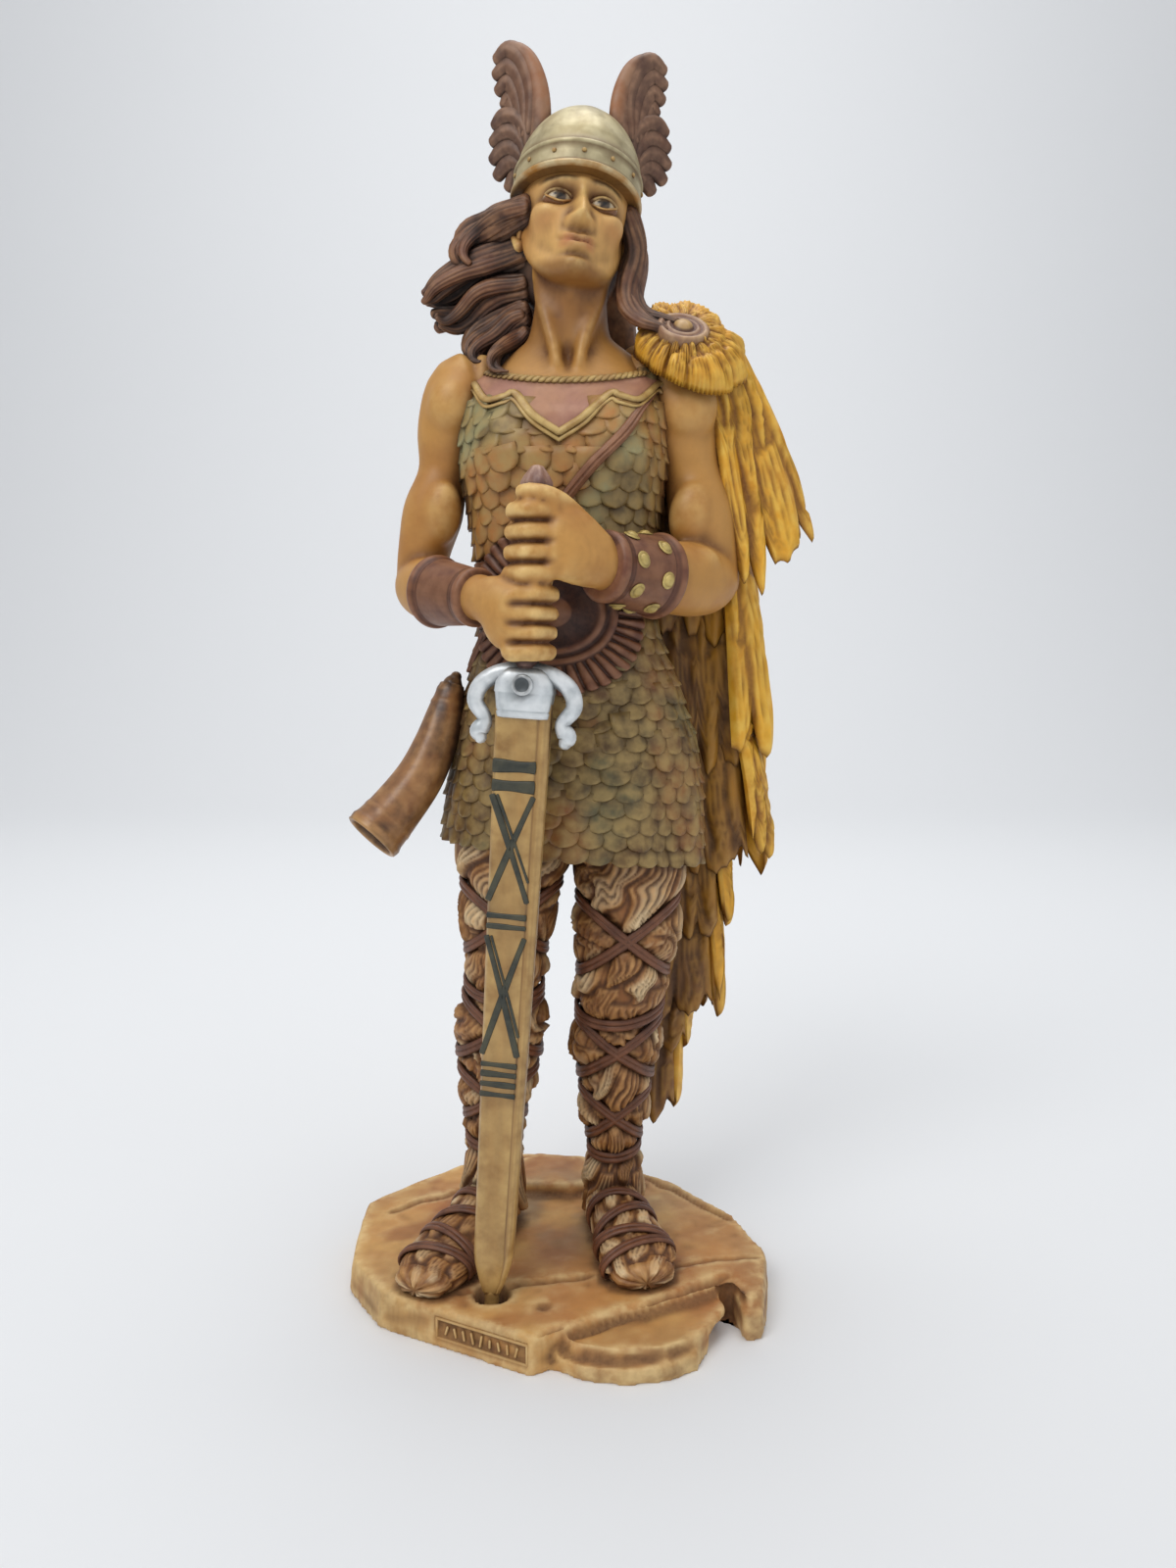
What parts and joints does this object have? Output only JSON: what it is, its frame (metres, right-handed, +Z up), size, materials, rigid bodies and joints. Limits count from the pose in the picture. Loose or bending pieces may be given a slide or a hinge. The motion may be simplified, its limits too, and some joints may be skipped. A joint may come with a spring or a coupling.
{
  "type": "viking warrior figurine",
  "caption": "Painted cast figurine of a viking warrior in scale mail, winged helmet and fur cape, resting both fists on a sheathed sword, on a rock plinth",
  "frame": {"origin": "middle of the plinth's flat underside", "axes": "+Z up, the figure faces -Y, +X is to the figure's left"},
  "size_m": [0.1239, 0.1077, 0.3251],
  "materials": {
    "painted resin": "hand-painted satin resin with a dark brown wash in the carving",
    "painted stone": "matte ochre paint with rust patches",
    "painted pewter and wood": "silver paint on the guard, satin tan on the scabbard",
    "painted horn": "satin brown paint"
  },
  "bodies": {
    "root": {"figure": "painted resin", "plinth": "painted stone", "sword": "painted pewter and wood", "horn": "painted horn"}
  },
  "joints": []
}
